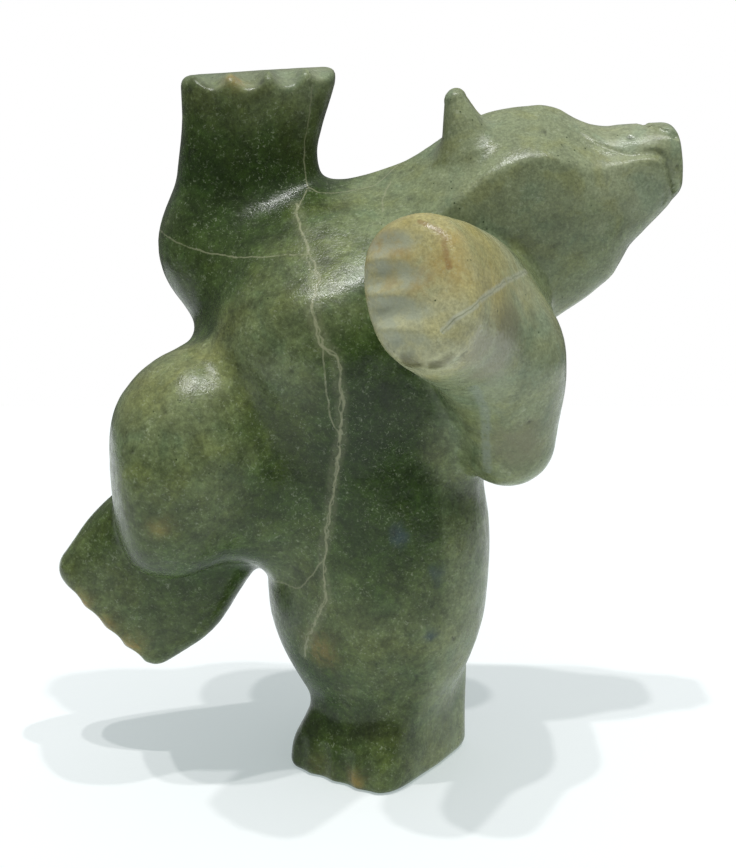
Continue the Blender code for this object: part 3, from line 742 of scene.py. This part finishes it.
def set_points(mesh, points):
    mesh.vertices.foreach_set("co", points.ravel())
    mesh.update()


def applied(piece, modifier):
    """A new mesh of the piece, with the modifier's work in it."""
    graph = bpy.context.evaluated_depsgraph_get()
    mesh = bpy.data.meshes.new_from_object(piece.evaluated_get(graph))
    piece.modifiers.remove(modifier)
    return mesh


def remeshed(piece, voxel):
    modifier = piece.modifiers.new("Remesh", "REMESH")
    modifier.mode = "VOXEL"
    modifier.voxel_size = voxel
    return applied(piece, modifier)


def thinned(piece, most):
    triangles = sum(len(face.vertices) - 2 for face in piece.data.polygons)
    modifier = piece.modifiers.new("Decimate", "DECIMATE")
    modifier.ratio = min(1.0, most / triangles)
    return applied(piece, modifier)


def distance_and_normal(points):
    """Distance to the finished surface, and the way out of the stone, at each point."""
    slopes = []
    for way in np.eye(3) * SLOPE_STEP:
        slopes.append((finished(points + way) - finished(points - way)) / (2.0 * SLOPE_STEP))
    slopes = np.stack(slopes, axis=1)
    steepness = np.maximum(np.linalg.norm(slopes, axis=1, keepdims=True), LEAST_STEEPNESS)
    return finished(points) / steepness[:, 0], slopes / steepness


def on_surface(points, passes):
    for _ in range(passes):
        distance, normal = distance_and_normal(points)
        points = points - np.clip(distance, -LONGEST_STEP, LONGEST_STEP)[:, None] * normal
    return points, normal


def tool_marks(points):
    """How far the file and sandpaper left the surface above or below the true form."""
    height = np.zeros(len(points))
    for number, (size, depth) in enumerate(WAVES):
        height += depth * noise_at(points, size, 2, number)
    return height


def pits(points):
    """Depth of the pits and of the crack at each point."""
    chance = np.random.default_rng(NOISE_SEED)
    scattered = points[chance.integers(0, len(points), SCATTERED_PITS)]
    reaches = chance.uniform(*SCATTERED_REACHES, SCATTERED_PITS)
    holes = list(PITS)
    for place, reach in zip(scattered, reaches):
        holes.append((place, reach, SCATTERED_DEPTH * reach))
    depth = np.zeros(len(points))
    for place, reach, deep in holes:
        away = np.linalg.norm(points - place, axis=1)
        depth = np.maximum(depth, deep * np.exp(-np.square(away / reach)))
    crack = distance_to_line(warped(points, *CRACK_WARP), CRACK)
    broken = CRACK_EVEN + CRACK_UNEVEN * noise_at(points, *CRACK_NOISE)
    return depth + CRACK_DEPTH * broken * np.exp(-np.square(crack / CRACK_WIDTH))


def in_stone_only(points):
    """Share of the carving's depth that is cut: none at the sole, which stays flat."""
    return np.clip((points[:, 2] - SOLE_UNCUT) / SOLE_FADE, 0.0, 1.0)


def laid_on_stone(places):
    """The line through the places in short steps, each brought onto the surface."""
    steps = []
    for start, end in zip(np.array(places[:-1]), np.array(places[1:])):
        count = 1 + int(np.linalg.norm(end - start) / LINE_STEP)
        steps.append(start + (end - start) * np.arange(count)[:, None] / count)
    steps.append(np.array(places[-1:]))
    return on_surface(np.vstack(steps), LAYING_PASSES)


def beside_lines(points, lines):
    """Distance to the nearest line, and how far to one side of it or the other."""
    away = np.full(len(points), FAR_OFF)
    side = np.full(len(points), FAR_OFF)
    for places in lines:
        line, normals = laid_on_stone(places)
        for start, end, normal in zip(line[:-1], line[1:], normals):
            along = end - start
            share = np.clip((points - start) @ along / along.dot(along), 0.0, 1.0)
            offset = points - start - share[:, None] * along
            distance = np.linalg.norm(offset, axis=1)
            nearer = distance < away
            away[nearer] = distance[nearer]
            side[nearer] = offset[nearer] @ unit(np.cross(along, normal))
    return away, side


def keep_number(mesh, name, values):
    attribute = mesh.attributes.new(name, "FLOAT", "POINT")
    attribute.data.foreach_set("value", values.astype(np.float32))


def green_places():
    """Each place of the stone whose green is given, with that green."""
    places = []
    for height, *greens in TRUNK_GREENS:
        for column, green in zip(TRUNK_COLUMNS, greens):
            places.append((np.array((*column, height)), green))
    for start, end, shift, greens in LIMB_GREENS:
        steps = np.linspace(start, end, len(greens)) + shift
        places.extend(zip(steps, greens))
    return places


def ground_and_sheen_colour(points):
    """The stone's greens, with the painted sheen at the standing leg's right edge, blended from place
    to place.
    """
    total = np.full((len(points), 3), TINY)
    shares = np.full((len(points), 1), TINY)
    for place, green in green_places():
        away = np.linalg.norm(points - place, axis=1, keepdims=True)
        share = np.exp(-np.square(away / GROUND_REACH)) + TINY / (TINY + away)
        total += share * np.sqrt(COLOURS[green])
        shares += share
    return np.square(total / shares)


def patches(points, spots):
    strength = np.zeros(len(points))
    for centre, reach, amount in spots:
        away = np.linalg.norm(points - np.array(centre), axis=1)
        strength = np.maximum(strength, amount * np.exp(-np.square(away / reach)))
    return strength


def colour_map(mesh, points, carved_depth):
    """What the stone's material reads at each point: ground colour with its painted sheen, patches,
    lines, hollows, and pits with their painted shade.
    """
    # Ground colour, with a painted sheen along the standing leg's right edge
    ground = mesh.attributes.new("stone_ground_and_sheen", "FLOAT_COLOR", "POINT")
    colours = ground_and_sheen_colour(warped(points, *GROUND_WARP))
    opaque = np.ones((len(points), 1))
    ground.data.foreach_set("color", np.hstack((colours, opaque)).ravel().astype(np.float32))
    for name, spots in PATCHES.items():
        keep_number(mesh, "stone_" + name, patches(warped(points, *PATCH_WARP), spots))
    for name, lines in LINES.items():
        away, side = beside_lines(points, lines)
        keep_number(mesh, "stone_" + name + "_away", away)
        keep_number(mesh, "stone_" + name + "_side", side)
    paws = np.minimum(near_paw_hollows(points), far_paw_hollows(points) + FAR_PAW_FAINTER)
    keep_number(mesh, "stone_hollow", np.exp(-np.square(np.maximum(paws, 0.0) / HOLLOW_FADE)))
    # Painted shade of the pits and the crack, darker the deeper they are cut
    keep_number(mesh, "stone_pit_shade", np.clip(carved_depth / DARK_PIT, 0.0, 1.0))


def fine_surface():
    """The visible carving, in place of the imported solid."""
    piece = bpy.data.objects.new("carved_stone", frame["nodes"][NODE].data.copy())
    bpy.context.scene.collection.objects.link(piece)
    piece.data = remeshed(piece, FINE_VOXEL)
    points, _ = on_surface(points_of(piece.data), PASSES_BEFORE)
    set_points(piece.data, points)
    piece.data = thinned(piece, MOST_TRIANGLES)
    points, normal = on_surface(points_of(piece.data), PASSES_AFTER)
    depth = pits(points) * in_stone_only(points)
    lift = tool_marks(points) * in_stone_only(points) - depth
    points[:, 2] = np.maximum(points[:, 2], 0.0)
    colour_map(piece.data, points, depth)
    set_points(piece.data, points + normal * lift[:, None])
    for face in piece.data.polygons:
        face.use_smooth = True
    return piece


# --- Stone ---

# Lines drawn in the stone: name, size of the wander, how far it wanders, half the line's width and
# how far from its middle it is drawn, in millimetres but for the size; how strong; its colour
DRAWN_LINES = (
    ("vein", 0.016, 4.0, 2.4, 4.5, 0.22, "vein"),
    ("vein", 0.009, 6.0, 0.36, 3.0, 0.75, "vein"),
    ("vein", 0.006, 6.0, 0.28, 3.0, 0.65, "vein"),
    ("thread", 0.005, 2.0, 0.28, 1.4, 0.60, "vein"),
    ("crack", 0.012, 1.5, 1.00, 1.8, 0.75, "chalk"),
    ("crack", 0.006, 2.0, 0.22, 1.8, 0.45, "olive"),
    ("stain", 0.004, 2.0, 0.95, 2.2, 0.50, "brown"),
    ("crease", 0.010, 3.0, 1.70, 2.6, 0.60, "mist"),
)
MILLIMETRES = 1000.0
# A line's share fades from full to none between these shares of its half width, and at its ends
LINE_EDGES = (1.5, 0.5)
LINE_FADE = 0.6

# A noise below is its size, detail, roughness and distortion, as far as they are given. A range is
# the values of the noise at its ends, then what they give, as far as that isn't none and full
HUE_NOISE = (0.015, 4.0, 0.6, 0.4)
WARMER = (1.06, 1.01, 0.84)
WARM_RANGE = (0.50, 0.66, 0.0, 0.8)
COOLER = (0.92, 1.00, 1.08)
COOL_RANGE = (0.48, 0.34, 0.0, 0.8)
# Mottling of the ground colour: size, detail, and how dark and how light it makes the stone.
# Then its roughness and distortion, and its range
CLOUDS = ((0.0100, 5.0, 0.72, 1.30), (0.0036, 4.0, 0.76, 1.28))
GRAINS = ((0.0011, 3.0, 0.82, 1.20),)
MOTTLING = (0.62, 0.35)
MOTTLING_RANGE = (0.30, 0.70)
# The lighter the stone, the calmer its clouds
CALM_FROM = 0.10
CALM_AT = 0.26
LEAST_MOTTLING = 0.35
PATCH_EDGE = (0.0045, 4.0, 0.6)
PATCH_RAGGEDNESS = 0.7
PATCH_RANGE = (0.55, 1.20)
# Patches with ragged edges, and the most that each covers
RAGGED_PATCHES = (("ash", 0.7), ("blue", 0.75), ("umber", 0.8))
STREAKS = (0.0052, 4.0, 0.6, 1.2)
STREAK_RANGE = (0.30, 0.56, 0.2, 1.0)
MOST_ORANGE = 0.95
FROST = (0.0060, 4.0, 0.6)
FROST_RANGE = (0.36, 0.60, 0.35, 0.85)
# Where the lines are broken
BREAKS = (0.0030, 3.0, 0.6)
BREAK_RANGE = (0.30, 0.52, 0.35, 1.0)
FLECK = (0.42, 0.46, 0.34)
FLECKS = (0.0011, 3.0, 0.6, 1.2)
FLECK_RANGE = (0.58, 0.68)
MOST_FLECKED = 0.42
THICK_WITH_FLECKS = (0.010, 3.0)
THICK_RANGE = (0.38, 0.62, 0.35, 1.0)
SPECK_CELL = 0.0034
SPECK_RANGE = (0.13, 0.05)
SPECKLED = (0.014, 2.0)
SPECKLED_RANGE = (0.50, 0.62)
PIT_DARKNESS = 0.75
WEAR = (0.004, 4.0, 0.6)
ROUGHNESS_RANGE = (0.3, 0.7, 0.19, 0.34)
SPECULAR = 0.34
# Bumps in the polish: the noise, then how high it stands and its strength
DENTS = ((0.0036, 2.0, 0.5), 0.00012, 0.5)
TOOTH = ((0.0009, 3.0, 0.6), 0.00013, 0.9)


def rgba(colour):
    return (*colour, 1.0)


class Nodes:
    """Short calls for making the nodes of one material."""

    def __init__(self, tree):
        self.tree = tree
        self.shader = tree.nodes["Principled BSDF"]
        coordinates = tree.nodes.new("ShaderNodeTexCoord")
        self.position = coordinates.outputs["Object"]

    def feed(self, socket, value):
        if isinstance(value, bpy.types.NodeSocket):
            self.tree.links.new(value, socket)
        else:
            socket.default_value = value

    def noise(self, size, detail=3.0, roughness=0.55, distortion=0.0):
        node = self.tree.nodes.new("ShaderNodeTexNoise")
        self.feed(node.inputs["Vector"], self.position)
        node.inputs["Scale"].default_value = 1.0 / size
        node.inputs["Detail"].default_value = detail
        node.inputs["Roughness"].default_value = roughness
        node.inputs["Distortion"].default_value = distortion
        return node.outputs["Fac"]

    def cells(self, size):
        node = self.tree.nodes.new("ShaderNodeTexVoronoi")
        self.feed(node.inputs["Vector"], self.position)
        node.inputs["Scale"].default_value = 1.0 / size
        return node.outputs["Distance"]

    def number(self, name):
        node = self.tree.nodes.new("ShaderNodeAttribute")
        node.attribute_name = name
        return node.outputs["Fac"]

    def colour(self, name):
        node = self.tree.nodes.new("ShaderNodeAttribute")
        node.attribute_name = name
        return node.outputs["Color"]

    def lightness(self, name):
        node = self.tree.nodes.new("ShaderNodeRGBToBW")
        self.feed(node.inputs["Color"], self.colour(name))
        return node.outputs["Val"]

    def scaled(self, colour, factor):
        node = self.tree.nodes.new("ShaderNodeVectorMath")
        node.operation = "SCALE"
        self.feed(node.inputs[0], colour)
        self.feed(node.inputs["Scale"], factor)
        return node.outputs["Vector"]

    def maths(self, operation, first, second, third=0.0):
        node = self.tree.nodes.new("ShaderNodeMath")
        node.operation = operation
        for socket, value in zip(node.inputs, (first, second, third)):
            self.feed(socket, value)
        return node.outputs["Value"]

    def ramp(self, value, low, high, bottom=0.0, top=1.0):
        node = self.tree.nodes.new("ShaderNodeMapRange")
        node.interpolation_type = "SMOOTHSTEP"
        for name, given in zip(("Value", "From Min", "From Max", "To Min", "To Max"),
                               (value, low, high, bottom, top)):
            self.feed(node.inputs[name], given)
        return node.outputs["Result"]

    def mix(self, share, first, second, blend="MIX"):
        node = self.tree.nodes.new("ShaderNodeMix")
        node.data_type = "RGBA"
        node.blend_type = blend
        self.feed(node.inputs[0], share)
        self.feed(node.inputs[6], first if isinstance(first, bpy.types.NodeSocket) else rgba(first))
        self.feed(node.inputs[7], second if isinstance(second, bpy.types.NodeSocket) else rgba(second))
        return node.outputs[2]

    def bump(self, height, distance, strength, below=None):
        node = self.tree.nodes.new("ShaderNodeBump")
        node.inputs["Distance"].default_value = distance
        node.inputs["Strength"].default_value = strength
        self.feed(node.inputs["Height"], height)
        if below is not None:
            self.feed(node.inputs["Normal"], below)
        return node.outputs["Normal"]


def mottled_green(n):
    """The ground colour with its painted sheen, clouded and mottled, in places warmer and in places
    bluer.
    """
    colour = n.colour("stone_ground_and_sheen")
    hue = n.noise(*HUE_NOISE)
    colour = n.mix(n.ramp(hue, *WARM_RANGE), colour, WARMER, "MULTIPLY")
    colour = n.mix(n.ramp(hue, *COOL_RANGE), colour, COOLER, "MULTIPLY")
    calm = n.ramp(n.lightness("stone_ground_and_sheen"), CALM_FROM, CALM_AT, 1.0, LEAST_MOTTLING)
    for size, detail, dark, light in CLOUDS:
        cloud = n.noise(size, detail, *MOTTLING)
        change = n.maths("SUBTRACT", n.ramp(cloud, *MOTTLING_RANGE, dark, light), 1.0)
        colour = n.scaled(colour, n.maths("MULTIPLY_ADD", change, calm, 1.0))
    for size, detail, dark, light in GRAINS:
        grain = n.noise(size, detail, *MOTTLING)
        colour = n.scaled(colour, n.ramp(grain, *MOTTLING_RANGE, dark, light))
    return colour


def with_patches(n, colour):
    """Ragged patches, orange streaks, and the paler stone in the paws' hollows."""
    edge = n.noise(*PATCH_EDGE)
    for name, most in RAGGED_PATCHES:
        share = n.maths("MULTIPLY_ADD", edge, PATCH_RAGGEDNESS, n.number("stone_" + name))
        colour = n.mix(n.ramp(share, *PATCH_RANGE, 0.0, most), colour, COLOURS[name])
    streaks = n.ramp(n.noise(*STREAKS), *STREAK_RANGE)
    orange = n.maths("MULTIPLY", n.number("stone_orange"), streaks)
    colour = n.mix(n.maths("MULTIPLY", orange, MOST_ORANGE), colour, COLOURS["orange"])
    cloudy = n.ramp(n.noise(*FROST), *FROST_RANGE)
    return n.mix(n.maths("MULTIPLY", n.number("stone_hollow"), cloudy), colour, COLOURS["frost"])


def drawn_line(n, name, size, wander, half_width, reach):
    """Share of a thin line that wanders to both sides of the middle. Lengths in millimetres."""
    wobble = n.maths("MULTIPLY_ADD", n.noise(size, 2.0), wander, -0.5 * wander)
    side = n.maths("MULTIPLY_ADD", n.number("stone_" + name + "_side"), MILLIMETRES, wobble)
    outer, inner = LINE_EDGES
    thin = n.ramp(n.maths("ABSOLUTE", side, 0.0), outer * half_width, inner * half_width)
    away = n.maths("MULTIPLY", n.number("stone_" + name + "_away"), MILLIMETRES)
    return n.maths("MULTIPLY", thin, n.ramp(away, reach + LINE_FADE, reach))


def with_veins(n, colour):
    broken = n.ramp(n.noise(*BREAKS), *BREAK_RANGE)
    for name, size, wander, half_width, reach, most, tint in DRAWN_LINES:
        share = n.maths("MULTIPLY", drawn_line(n, name, size, wander, half_width, reach), broken)
        colour = n.mix(n.maths("MULTIPLY", share, most), colour, COLOURS[tint])
    return colour


def with_grain(n, colour):
    """Fine grain, short pale flecks, dark specks, and painted shade in the pits and the crack."""
    flecks = n.ramp(n.noise(*FLECKS), *FLECK_RANGE)
    thick = n.ramp(n.noise(*THICK_WITH_FLECKS), *THICK_RANGE)
    share = n.maths("MULTIPLY", n.maths("MULTIPLY", flecks, thick), MOST_FLECKED)
    colour = n.mix(share, colour, FLECK)
    specks = n.ramp(n.cells(SPECK_CELL), *SPECK_RANGE)
    speckled = n.ramp(n.noise(*SPECKLED), *SPECKLED_RANGE)
    colour = n.mix(n.maths("MULTIPLY", specks, speckled), colour, COLOURS["ink"])
    # Painted shade in the pits and the crack, darker where they are cut deeper
    darkness = n.maths("MULTIPLY", n.number("stone_pit_shade"), PIT_DARKNESS)
    return n.mix(darkness, colour, COLOURS["pit_shade"])


def soapstone():
    material = bpy.data.materials.new("soapstone")
    material.use_nodes = True
    n = Nodes(material.node_tree)
    colour = with_grain(n, with_veins(n, with_patches(n, mottled_green(n))))
    n.feed(n.shader.inputs["Base Color"], colour)
    n.feed(n.shader.inputs["Roughness"], n.ramp(n.noise(*WEAR), *ROUGHNESS_RANGE))
    n.shader.inputs["Specular IOR Level"].default_value = SPECULAR
    normal = None
    for bumps, height, strength in (DENTS, TOOTH):
        normal = n.bump(n.noise(*bumps), height, strength, normal)
    n.feed(n.shader.inputs["Normal"], normal)
    return material


# --- Studio ---

CAMERA_PLACE = (-0.0045, -0.557, 0.2775)
CAMERA_DOWN = 14.5
CAMERA_LENS = 62.2
SENSOR = 36.0
# Three lamps overhead: how far each leans to the side and to the front, for each metre of height
LAMP_LEANS = ((-0.03, -0.19), (-0.14, -0.19), (0.28, -0.19))
LAMP_POWER = 0.80
LAMP_WIDTH = math.radians(1.3)
SKY_LOW = 0.15
SKY_HIGH = 0.60
SKY_COLOUR = (0.97, 0.985, 1.0, 1.0)
BACKGROUND = (1.0, 1.0, 1.0, 1.0)
NEAREST_SEEN = 0.01
FLOOR_SIZE = 1.2
FLOOR_COLOUR = (0.62, 0.62, 0.62, 1.0)
FLOOR_GLOW = (0.31, 0.36, 0.365, 1.0)
FLOOR_ROUGHNESS = 0.65
FLOOR_SPECULAR = 0.2


def camera():
    lens = bpy.data.cameras.new("camera")
    lens.lens = CAMERA_LENS
    lens.sensor_width = SENSOR
    lens.clip_start = NEAREST_SEEN
    eye = bpy.data.objects.new("camera", lens)
    eye.location = CAMERA_PLACE
    eye.rotation_euler = (math.radians(90.0 - CAMERA_DOWN), 0.0, 0.0)
    bpy.context.scene.collection.objects.link(eye)
    bpy.context.scene.camera = eye


def lights():
    for number, (side, front) in enumerate(LAMP_LEANS):
        lamp = bpy.data.lights.new("studio_lamp_" + str(number), "SUN")
        lamp.energy = LAMP_POWER
        lamp.angle = LAMP_WIDTH
        hung = bpy.data.objects.new(lamp.name, lamp)
        hung.location = (side, front, 1.0)
        hung.rotation_euler = hung.location.to_track_quat("Z", "Y").to_euler()
        bpy.context.scene.collection.objects.link(hung)


def world():
    """Soft light, brightest from above, on a white background."""
    sky = bpy.data.worlds.new("studio")
    sky.use_nodes = True
    nodes = sky.node_tree.nodes
    links = sky.node_tree.links
    coordinates = nodes.new("ShaderNodeTexCoord")
    parts = nodes.new("ShaderNodeSeparateXYZ")
    links.new(coordinates.outputs["Generated"], parts.inputs[0])
    height = nodes.new("ShaderNodeMapRange")
    height.inputs["To Min"].default_value = SKY_LOW
    height.inputs["To Max"].default_value = SKY_HIGH
    links.new(parts.outputs["Z"], height.inputs["Value"])
    lighting = nodes["Background"]
    lighting.inputs["Color"].default_value = SKY_COLOUR
    links.new(height.outputs["Result"], lighting.inputs["Strength"])
    seen = nodes.new("ShaderNodeBackground")
    seen.inputs["Color"].default_value = BACKGROUND
    path = nodes.new("ShaderNodeLightPath")
    both = nodes.new("ShaderNodeMixShader")
    links.new(path.outputs["Is Camera Ray"], both.inputs[0])
    links.new(lighting.outputs[0], both.inputs[1])
    links.new(seen.outputs[0], both.inputs[2])
    links.new(both.outputs[0], nodes["World Output"].inputs["Surface"])
    bpy.context.scene.world = sky


def floor():
    bpy.ops.mesh.primitive_plane_add(size=FLOOR_SIZE)
    plane = bpy.context.object
    plane.name = "floor"
    material = bpy.data.materials.new("pale_floor")
    material.use_nodes = True
    shader = material.node_tree.nodes["Principled BSDF"]
    shader.inputs["Base Color"].default_value = FLOOR_COLOUR
    shader.inputs["Emission Color"].default_value = FLOOR_GLOW
    shader.inputs["Emission Strength"].default_value = 1.0
    shader.inputs["Roughness"].default_value = FLOOR_ROUGHNESS
    shader.inputs["Specular IOR Level"].default_value = FLOOR_SPECULAR
    plane.data.materials.append(material)


camera()
world()
lights()
floor()
bpy.context.scene.view_settings.view_transform = "Standard"

stone = fine_surface()
stone.data.materials.clear()
stone.data.materials.append(soapstone())
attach(stone, "root")
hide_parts(NODE)
